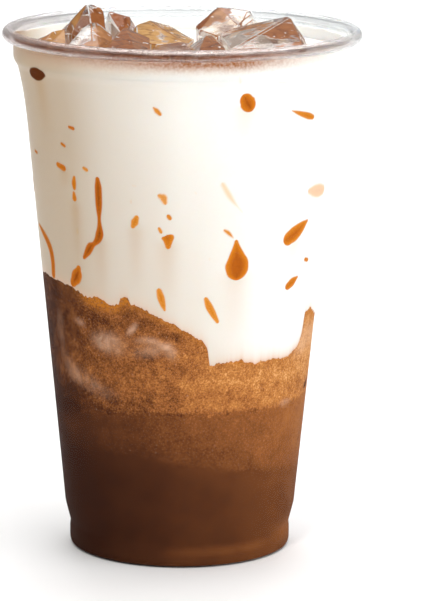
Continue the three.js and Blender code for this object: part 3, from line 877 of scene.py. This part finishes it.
# %% Shape of a chunk
FACET_MERGE = 9
CHIP, CHIP_SHARE = 0.9, 0.3
EDGE_ROUND = 0.22
EDGE_STRETCH, HIGHLIGHT_OVER = 7, 0.05
FINE_EDGE, FINE_CUTS = 1.2, 3
MELT, MELT_SIZE = 0.12, 2.5


def facing(angle, up):
    """The direction of a facet, from the angle it faces and its slope."""
    angle, up = math.radians(angle), math.radians(up)
    return Vector((math.sin(angle) * math.cos(up), -math.cos(angle) * math.cos(up), math.sin(up)))


def look_of(face, facets):
    """The look of the listed facet that faces most nearly the same way."""
    return max(facets, key=lambda facet: facing(*facet[:2]).dot(face.normal))[2:]


def ice_mesh(node, facets):
    """A chunk of ice with worn edges. Each face keeps its look in four numbers."""
    bm = bmesh.new()
    bm.from_mesh(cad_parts[node].data)
    bmesh.ops.remove_doubles(bm, verts=bm.verts, dist=0.01 * MM)
    bmesh.ops.dissolve_limit(bm, angle_limit=math.radians(FACET_MERGE), verts=bm.verts,
                             edges=bm.edges)
    bm.normal_update()
    layers = [bm.faces.layers.float.new(look) for look in LOOKS]
    for face in bm.faces:
        for layer, value in zip(layers, look_of(face, facets)):
            face[layer] = value
    rng = random.Random(node)
    chipped = [edge for edge in bm.edges if rng.random() < CHIP_SHARE]
    for edges, size, steps in ((chipped, CHIP, 1), (None, EDGE_ROUND, 2)):
        rounded = bmesh.ops.bevel(bm, geom=edges or list(bm.edges), offset=size * MM, segments=steps,
                                  profile=0.5, affect="EDGES", material=-1, clamp_overlap=True)
        for face in rounded["faces"]:
            # Stretches of a rounded edge are painted highlights, white with frost, or else dark.
            bright = noise.noise(face.calc_center_median() / (EDGE_STRETCH * MM)) > HIGHLIGHT_OVER
            edge_look = HIGHLIGHT_EDGE if bright else DARK_EDGE
            for layer, value in zip(layers, look_of(face, facets) if size == CHIP else edge_look):
                face[layer] = value
    bmesh.ops.triangulate(bm, faces=[f for f in bm.faces if len(f.verts) > 4])
    bmesh.ops.subdivide_edges(bm, edges=[e for e in bm.edges if e.calc_length() > FINE_EDGE * MM],
                              cuts=FINE_CUTS, use_grid_fill=True)
    bmesh.ops.triangulate(bm, faces=bm.faces)
    bm.normal_update()
    for vert in bm.verts:
        vert.co += vert.normal * MELT * MM * noise.noise(vert.co / (MELT_SIZE * MM))
    bmesh.ops.recalc_face_normals(bm, faces=bm.faces)
    return bm


# %% [markdown]
# From outside, clear ice shows what is under it and on it. Here the coffee and the frost on it are
# worked out. Each adds up what its facet and its spots give, and the coffee also changes with height.
# Noise breaks the sums up: coffee into runs of a few millimetres, and frost into finer chips.

# %% Coffee and frost on the ice
RISE_FROM, RISE_TO = 142.5, 145.5
RUN_SIZE, CHIP_SIZE = 4, 2.2

clear_ice, tree, output = new_material("clear_ice")
film, rise, amber, frost = [add(tree, "Attribute", attribute_name=look, out="Fac") for look in LOOKS]
spot = add(tree, "TexCoord", out="Object")
height = add(tree, "SeparateXYZ", inputs={"Vector": spot}, out="Z")
height = add(tree, "MapRange", clamp=False, inputs={
    "Value": height, "From Min": RISE_FROM * MM, "From Max": RISE_TO * MM})
film = add(tree, "Math", operation="MULTIPLY_ADD", inputs={0: height, 1: rise, 2: film})
spill = add(tree, "Attribute", attribute_name="spill", out="Fac")
film = add(tree, "Math", operation="ADD", inputs={0: film, 1: spill})
snow = add(tree, "Attribute", attribute_name="snow", out="Fac")
frost = add(tree, "Math", operation="ADD", inputs={0: frost, 1: snow})
runs = add(tree, "TexNoise", inputs={"Vector": spot, "Scale": 1 / (RUN_SIZE * MM), "Detail": 3.0,
                                     "Distortion": 0.5})
film = add(tree, "Math", operation="ADD", inputs={0: runs, 1: film})
film = add(tree, "MapRange", interpolation_type="SMOOTHSTEP",
           inputs={"Value": film, "From Min": 0.85, "From Max": 1.1})
chips = add(tree, "TexNoise", inputs={"Vector": spot, "Scale": 1 / (CHIP_SIZE * MM), "Detail": 2.0,
                                      "Distortion": 1.0})
frost = add(tree, "Math", operation="ADD", inputs={0: chips, 1: frost})
frost = add(tree, "MapRange", interpolation_type="SMOOTHSTEP",
            inputs={"Value": frost, "From Min": 0.95, "From Max": 1.25})

# %% [markdown]
# Cracks run where broken planes meet inside the ice, some as thin bright lines and some as wider dark
# ones. The edges of Voronoi cells are such planes once noise has bent them. Two other noises choose
# where each kind shows, because a crack rarely goes right through a chunk.

# %% Cracks in the ice
BEND_SIZE, CRACK_SPACING = 3, 7

waves = add(tree, "TexNoise", inputs={"Vector": spot, "Scale": 1 / (MELT_SIZE * MM), "Detail": 3.0})
aside = add(tree, "TexNoise", inputs={"Vector": spot, "Scale": 1 / (BEND_SIZE * MM)}, out="Color")
bent = add(tree, "VectorMath", operation="MULTIPLY_ADD",
           inputs={0: aside, 1: [BEND_SIZE * MM] * 3, 2: spot})
cracks = add(tree, "TexVoronoi", feature="DISTANCE_TO_EDGE",
             inputs={"Vector": bent, "Scale": 1 / (CRACK_SPACING * MM)}, out="Distance")
bright = add(tree, "MapRange", inputs={"Value": cracks, "From Min": 0.05, "From Max": 0.02})
split = add(tree, "MapRange", inputs={"Value": chips, "From Min": 0.6, "From Max": 0.68})
bright = add(tree, "Math", operation="MULTIPLY", inputs={0: bright, 1: split})
dim = add(tree, "MapRange", inputs={"Value": cracks, "From Min": 0.12, "From Max": 0.05, "To Max": 0.5})
deep = add(tree, "MapRange", inputs={"Value": waves, "From Min": 0.42, "From Max": 0.58})
dim = add(tree, "Math", operation="MULTIPLY", inputs={0: dim, 1: deep})
frost = add(tree, "Math", operation="MAXIMUM", inputs={0: frost, 1: bright})

# %% [markdown]
# Clear ice bends light by 1.31, less than glass does. Its coffee is brown or golden, dark to pale with
# the same noise that makes its runs, and its frost is a white bloom. Both let less light through than
# bare ice. A wet film hides the gloss of the ice, and gloss comes back where it is bare. As with the
# cup, light for shadows passes straight through.

# %% Clear ice
BARE_ICE, FROST = "#fbfbfa", "#ecebe8"
COFFEE_DARK, COFFEE_PALE = "#64301a", "#ab6a3e"
GOLD_DARK, GOLD_PALE = "#8f5a20", "#dcb070"
CRACK = "#5e3018"
SHADOW_TINT = "#f4efe8"

brown = add(tree, "Mix", data_type="RGBA",
            inputs={"Factor": runs, "A": linear(COFFEE_DARK), "B": linear(COFFEE_PALE)})
gold = add(tree, "Mix", data_type="RGBA",
           inputs={"Factor": runs, "A": linear(GOLD_DARK), "B": linear(GOLD_PALE)})
stained = add(tree, "Mix", data_type="RGBA", inputs={"Factor": amber, "A": brown, "B": gold})
stained = add(tree, "Mix", data_type="RGBA", inputs={"Factor": dim, "A": stained, "B": linear(CRACK)})
tint = add(tree, "Mix", data_type="RGBA",
           inputs={"Factor": film, "A": linear(BARE_ICE), "B": stained})
tint = add(tree, "Mix", data_type="RGBA", inputs={"Factor": frost, "A": tint, "B": linear(FROST)})
film_body = add(tree, "MapRange", inputs={"Value": film, "To Max": 0.85})
frost_body = add(tree, "MapRange", inputs={"Value": frost, "To Max": 0.6})
opaque = add(tree, "Math", operation="MAXIMUM", inputs={0: film_body, 1: frost_body})
clear = add(tree, "Math", operation="SUBTRACT", inputs={0: 1.0, 1: opaque})
gloss = add(tree, "MapRange", inputs={"Value": film, "To Min": 0.5, "To Max": 0.1})
bump = add(tree, "Bump", inputs={"Height": waves, "Strength": 0.3, "Distance": 0.4 * MM})
surface = add(tree, "BsdfPrincipled", inputs={
    "Base Color": tint, "Roughness": 0.1, "IOR": 1.31, "Specular IOR Level": gloss,
    "Transmission Weight": clear, "Normal": bump})
open_air = add(tree, "BsdfTransparent", inputs={"Color": linear(SHADOW_TINT)})
shadow_ray = add(tree, "LightPath", out="Is Shadow Ray")
mixed = add(tree, "MixShader", inputs={0: shadow_ray, 1: surface, 2: open_air})
tree.links.new(mixed, output.inputs["Surface"])

# %% [markdown]
# Each chunk takes the place of its solid. Its spots of coffee and frost are stored on its vertices,
# where the material adds them to what its facets show.

# %% Chunks of ice
for node, facets in ICE.items():
    chunk = make_piece(node + "_chunk", ice_mesh(node, facets), [clear_ice], sharp=25)
    store(chunk, "spill", spot_on_ice(chunk, ICE_SPOTS.get(node, []), SPOT_FILM))
    store(chunk, "snow", spot_on_ice(chunk, ICE_SPOTS.get(node, []), SPOT_FROST))
    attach(chunk, "root")
    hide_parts(node)

# %% [markdown]
# Cold milk is nearly white, opaque and a little soft, as light goes a millimetre or two into it, so
# it takes some subsurface scattering and hardly any gloss. Three colours are mixed over it, each by a
# number that its vertices store: a grey-brown one, which is painted shade towards the left, greys it
# low at the front and stains the streaks below drops, a pink one just above the cocoa and in the
# streaks below drops, and a grainy brown one under the rim.

# %% Cold milk
MILK_PATCH, TINGE_GRAIN = 9, 0.7
SOFT_WHITE, HAZE_PINK, TINGE_BROWN = "#fefdfa", "#e7b797", "#9a602e"

milk_white, tree, output = new_material("cold_milk")
spot = add(tree, "TexCoord", out="Object")
stain_and_shade = add(tree, "Attribute", attribute_name="stain_and_shade", out="Fac")
haze = add(tree, "Attribute", attribute_name="haze", out="Fac")
soft = add(tree, "TexNoise", inputs={"Vector": spot, "Scale": 1 / (MILK_PATCH * MM), "Detail": 2.0})
body = add(tree, "Mix", data_type="RGBA",
           inputs={"Factor": soft, "A": linear(MILK), "B": linear(SOFT_WHITE)})
# The grey-brown mix is painted shade towards the left, and a stain in streaks below drops.
body = add(tree, "Mix", data_type="RGBA",
           inputs={"Factor": stain_and_shade, "A": body, "B": linear(MILK_STAIN_AND_SHADE)})
body = add(tree, "Mix", data_type="RGBA",
           inputs={"Factor": haze, "A": body, "B": linear(HAZE_PINK)})
tinge = add(tree, "Attribute", attribute_name="tinge", out="Fac")
grains = add(tree, "TexNoise", inputs={"Vector": spot, "Scale": 1 / (TINGE_GRAIN * MM), "Detail": 2.0})
grains = add(tree, "MapRange", inputs={"Value": grains, "From Min": 0.3, "From Max": 0.7,
                                       "To Min": 0.7, "To Max": 1.15})
tinge = add(tree, "Math", operation="MULTIPLY", inputs={0: tinge, 1: grains}, use_clamp=True)
body = add(tree, "Mix", data_type="RGBA",
           inputs={"Factor": tinge, "A": body, "B": linear(TINGE_BROWN)})
surface = add(tree, "BsdfPrincipled", inputs={
    "Base Color": body, "Roughness": 0.35, "Specular IOR Level": 0.2,
    "Subsurface Weight": 0.3, "Subsurface Radius": (1.0, 0.7, 0.5), "Subsurface Scale": 2 * MM})
tree.links.new(surface, output.inputs["Surface"])

# %% [markdown]
# The hollows that the ice makes in the milk have a material of their own: milk mottled with coffee,
# matt and brown to cream, which is what makes clear ice look brown from outside.

# %% Coffee under the ice
MOTTLE_SIZE = 5
POCKET_BROWN, POCKET_CREAM = "#7d4a28", "#e3d2bd"

pocket_stain, tree, output = new_material("coffee_stain_under_ice")
spot = add(tree, "TexCoord", out="Object")
mottle = add(tree, "TexNoise", inputs={"Vector": spot, "Scale": 1 / (MOTTLE_SIZE * MM), "Detail": 4.0})
mottle = add(tree, "MapRange", interpolation_type="SMOOTHSTEP",
             inputs={"Value": mottle, "From Min": 0.42, "From Max": 0.6})
stained = add(tree, "Mix", data_type="RGBA",
              inputs={"Factor": mottle, "A": linear(POCKET_BROWN), "B": linear(POCKET_CREAM)})
surface = add(tree, "BsdfPrincipled", inputs={
    "Base Color": stained, "Roughness": 0.5, "Specular IOR Level": 0.1})
tree.links.new(surface, output.inputs["Surface"])

# %% [markdown]
# The milk fills the cup up to a level line just under the rim. It is cut round the ice by a Boolean
# with copies of the chunks' solids that are a hair smaller, so that milk and ice touch without a gap.
# The cut faces take the material of the copies.

# %% Milk round the ice
POCKET_SHRINK = 0.15

milk_mesh = layer_mesh(cocoa_top, np.full(ROUND, MILK_TOP), 84, 0.6)
milk = make_piece("milk_fill", milk_mesh, [milk_white], sharp=60)

cutters = bmesh.new()
for node in ICE:
    cutters.from_mesh(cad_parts[node].data)
bmesh.ops.remove_doubles(cutters, verts=cutters.verts, dist=0.01 * MM)
cutters.normal_update()
for vert in cutters.verts:
    vert.co -= vert.normal * POCKET_SHRINK * MM
cutter = make_piece("ice_hollows", cutters, [pocket_stain], sharp=25)
cut = milk.modifiers.new("hollows", "BOOLEAN")
cut.operation = "DIFFERENCE"
cut.solver = "EXACT"
cut.material_mode = "TRANSFER"
cut.object = cutter
depsgraph = bpy.context.evaluated_depsgraph_get()
carved = bpy.data.meshes.new_from_object(milk.evaluated_get(depsgraph))
milk.modifiers.clear()
milk.data = carved
bpy.data.objects.remove(cutter)
print("milk after its hollows:", len(carved.polygons), "faces,", len(carved.materials), "materials")

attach(milk, "root")
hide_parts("milk")

# %% [markdown]
# Milk also clings to the wall above its level, up to the bead, and it is tinged brown under the bead,
# most at the front. It is a thin ring in the thickness of the wall, with the same material as the milk.
# The ring is spun from a closed strip of rows, which are then carried to their heights on the wall, so
# that its upper edge can rise and fall.

# %% Film of milk under the bead
FILM_FOOT = 135.5
FILM_TOP = [(-180, 140.4), (-110, 140.6), (-95, 142.0), (25, 142.0), (50, 141.4), (90, 140.5),
            (180, 140.4)]
FILM_ROWS, FILM_STEPS = 12, 240
FILM_IN_FRONT = 0.03
FILM_THICK = 0.6
FILM_UNEVEN, FILM_WAVES = 0.3, 9

# The strip's rows stand at a radius of 1 and of 2 until they are carried to the wall.
sheet = [(1, row) for row in range(FILM_ROWS + 1)] + [(2, row) for row in range(FILM_ROWS, -1, -1)]
bm = spin_section([*sheet, sheet[0]], FILM_STEPS)
for vert in bm.verts:
    turn = math.atan2(vert.co.x, -vert.co.y)
    outer = vert.co.xy.length > 1.5 * MM
    share = vert.co.z / MM / FILM_ROWS
    top = float(read(FILM_TOP, math.degrees(turn)))
    top += FILM_UNEVEN * noise.noise(Vector((math.sin(turn), math.cos(turn), 0)) * FILM_WAVES)
    z = FILM_FOOT + (top - FILM_FOOT) * share
    radius = float(inside_radius(z)) + INTO_WALL + (FILM_IN_FRONT if outer else -FILM_THICK)
    vert.co = Vector((radius * math.sin(turn), -radius * math.cos(turn), z)) * MM
bmesh.ops.recalc_face_normals(bm, faces=bm.faces)
wall_film = make_piece("milk_film_on_wall", bm, [milk_white], sharp=60)
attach(wall_film, "root")

# %% [markdown]
# The milk is whitest at the right. To the left it is greyed by painted shade, above the cocoa it is
# hazy, and under the rim it is tinged brown. These are read from lists over the angle and the height,
# and the haze thins out with its height above the cocoa.

# %% Stains and painted shade in the milk
# Greyer towards the left, as painted shade.
SHADE_BY_ANGLE = [(-180, 0), (-125, 0.1), (-100, 0.8), (-88, 1.0), (-71, 0.95), (-45, 0.78), (-30, 0.5),
                  (-13, 0.3), (0, 0.14), (8, 0.1), (28, 0.02), (60, 0), (180, 0)]
STAIN_BY_HEIGHT = [(57, 0.45), (62, 0.33), (66, 0.26), (78, 0.22), (90, 0.18), (103, 0.12), (125, 0)]
LOW_STAIN_BY_ANGLE = [(-180, 0), (-62, -0.3), (-43, 0), (-30, 0.3), (-10, 1), (8, 1), (30, 0.4),
                      (50, 0.1), (60, 0)]
HAZE_BY_ANGLE = [(-180, 0.5), (15, 0.5), (28, 0.9), (60, 0.9), (66, 0.4), (180, 0.5)]
TINGE_BY_HEIGHT = [(135.5, 0.02), (137, 0.08), (138, 0.26), (139, 0.56), (140, 0.8), (141, 0.95)]
TINGE_BY_ANGLE = [(-180, 0), (-110, 0), (-90, 0.25), (-60, 0.3), (-40, 0.55), (-20, 0.8), (0, 1.15),
                  (20, 1.3), (30, 0.85), (45, 0.45), (60, 0.25), (100, 0), (180, 0)]
BEAD_TINGE = [(-180, 0), (-110, 0), (-90, 0.6), (-70, 0.9), (-30, 1), (20, 1), (35, 0.6), (60, 0.3),
              (90, 0.1), (180, 0)]
HAZE_REACH = 1.4
BEAD_FOOT, BEAD_BLEND = 140.4, 0.8
print("the milk is greyest at", max(SHADE_BY_ANGLE, key=lambda pair: pair[1])[0], "degrees")

# %% [markdown]
# Below some drops the milk keeps a faint streak, which is strongest near its upper end and fades out
# downwards. Every vertex of the milk, of its film on the wall and of the drops stores the same three
# numbers, so that the colours carry on from one piece to the next.

# %% Streaks, and the stains and painted shade stored
STREAK_STRENGTH, STREAK_STAIN, STREAK_HAZE = 0.3, 0.55, 0.5
STREAK_WIDTH, STREAK_BLUR, STREAK_ONSET = 0.8, 1.0, 8


def streaks_below_drops(angle, z):
    """How much of a drop's streak covers each place. It starts at the drop's widest station."""
    streaks = np.zeros(len(z))
    for strength, length, stations in DROPS:
        if length:
            at, foot, half = max(stations, key=lambda station: station[2])
            aside = (angle - at) * math.radians(MIDDLE_RADIUS) / (STREAK_WIDTH * half + STREAK_BLUR)
            below = np.clip((foot - z) / length, 0, 1)
            fading = (1 - below) * np.minimum(1, below * STREAK_ONSET)
            streaks += STREAK_STRENGTH * min(strength, 1) * np.exp(-aside ** 2) * fading
    return streaks


for piece in (milk, wall_film, drops):
    angle, z = places(piece)
    above = z - level_at(cocoa_top, angle)
    streaks = streaks_below_drops(angle, z)
    # By angle the grey-brown is painted shade; by height it greys the milk low at the front.
    stain_and_shade = read(SHADE_BY_ANGLE, angle)
    stain_and_shade += read(STAIN_BY_HEIGHT, z) * read(LOW_STAIN_BY_ANGLE, angle)
    haze = read(HAZE_BY_ANGLE, angle) * np.exp(-above / HAZE_REACH)
    tinge = read(TINGE_BY_HEIGHT, z) * read(TINGE_BY_ANGLE, angle)
    at_bead = np.clip((z - BEAD_FOOT) / BEAD_BLEND, 0, 1) * read(BEAD_TINGE, angle)
    store(piece, "stain_and_shade", np.clip(stain_and_shade + STREAK_STAIN * streaks, 0, 1))
    store(piece, "haze", np.clip(haze + STREAK_HAZE * streaks, 0, 1))
    store(piece, "tinge", np.clip(np.maximum(tinge, at_bead), 0, 1))
    print(f"{piece.name}: stained up to {stain_and_shade.max():.2f}")
